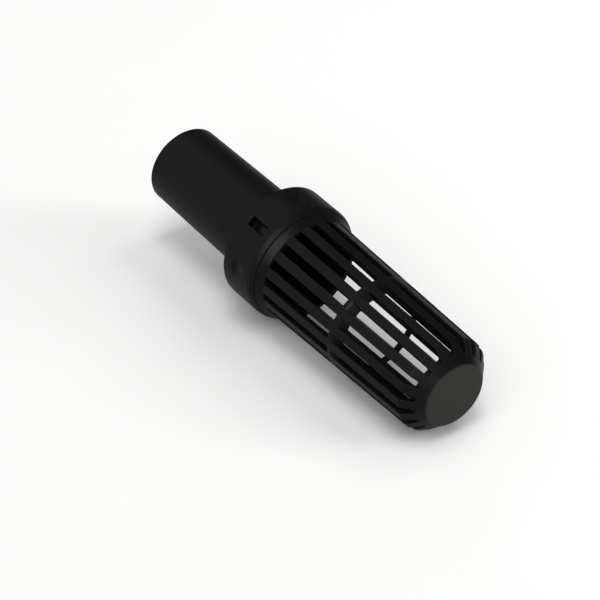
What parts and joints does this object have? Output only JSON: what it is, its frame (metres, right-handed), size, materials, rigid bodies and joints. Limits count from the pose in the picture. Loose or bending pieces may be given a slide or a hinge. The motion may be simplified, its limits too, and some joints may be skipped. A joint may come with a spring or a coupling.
{
  "type": "intake strainer",
  "caption": "Suction intake strainer: a tube with a cup, and a tapered slotted basket with a chamfered flat nose that snaps into the cup.",
  "frame": {"origin": "centre of the tube's open end, on the surface that it stands on", "axes": "+Z along the strainer's axis, from the tube's open end to the flat nose; +X through a slot and through a catch window"},
  "size_m": [0.0328, 0.0328, 0.115],
  "materials": {
    "socket_plastic": "satin black moulded plastic",
    "basket_plastic": "satin black moulded plastic"
  },
  "bodies": {
    "root": {"socket": "socket_plastic", "basket": "basket_plastic"}
  },
  "joints": []
}
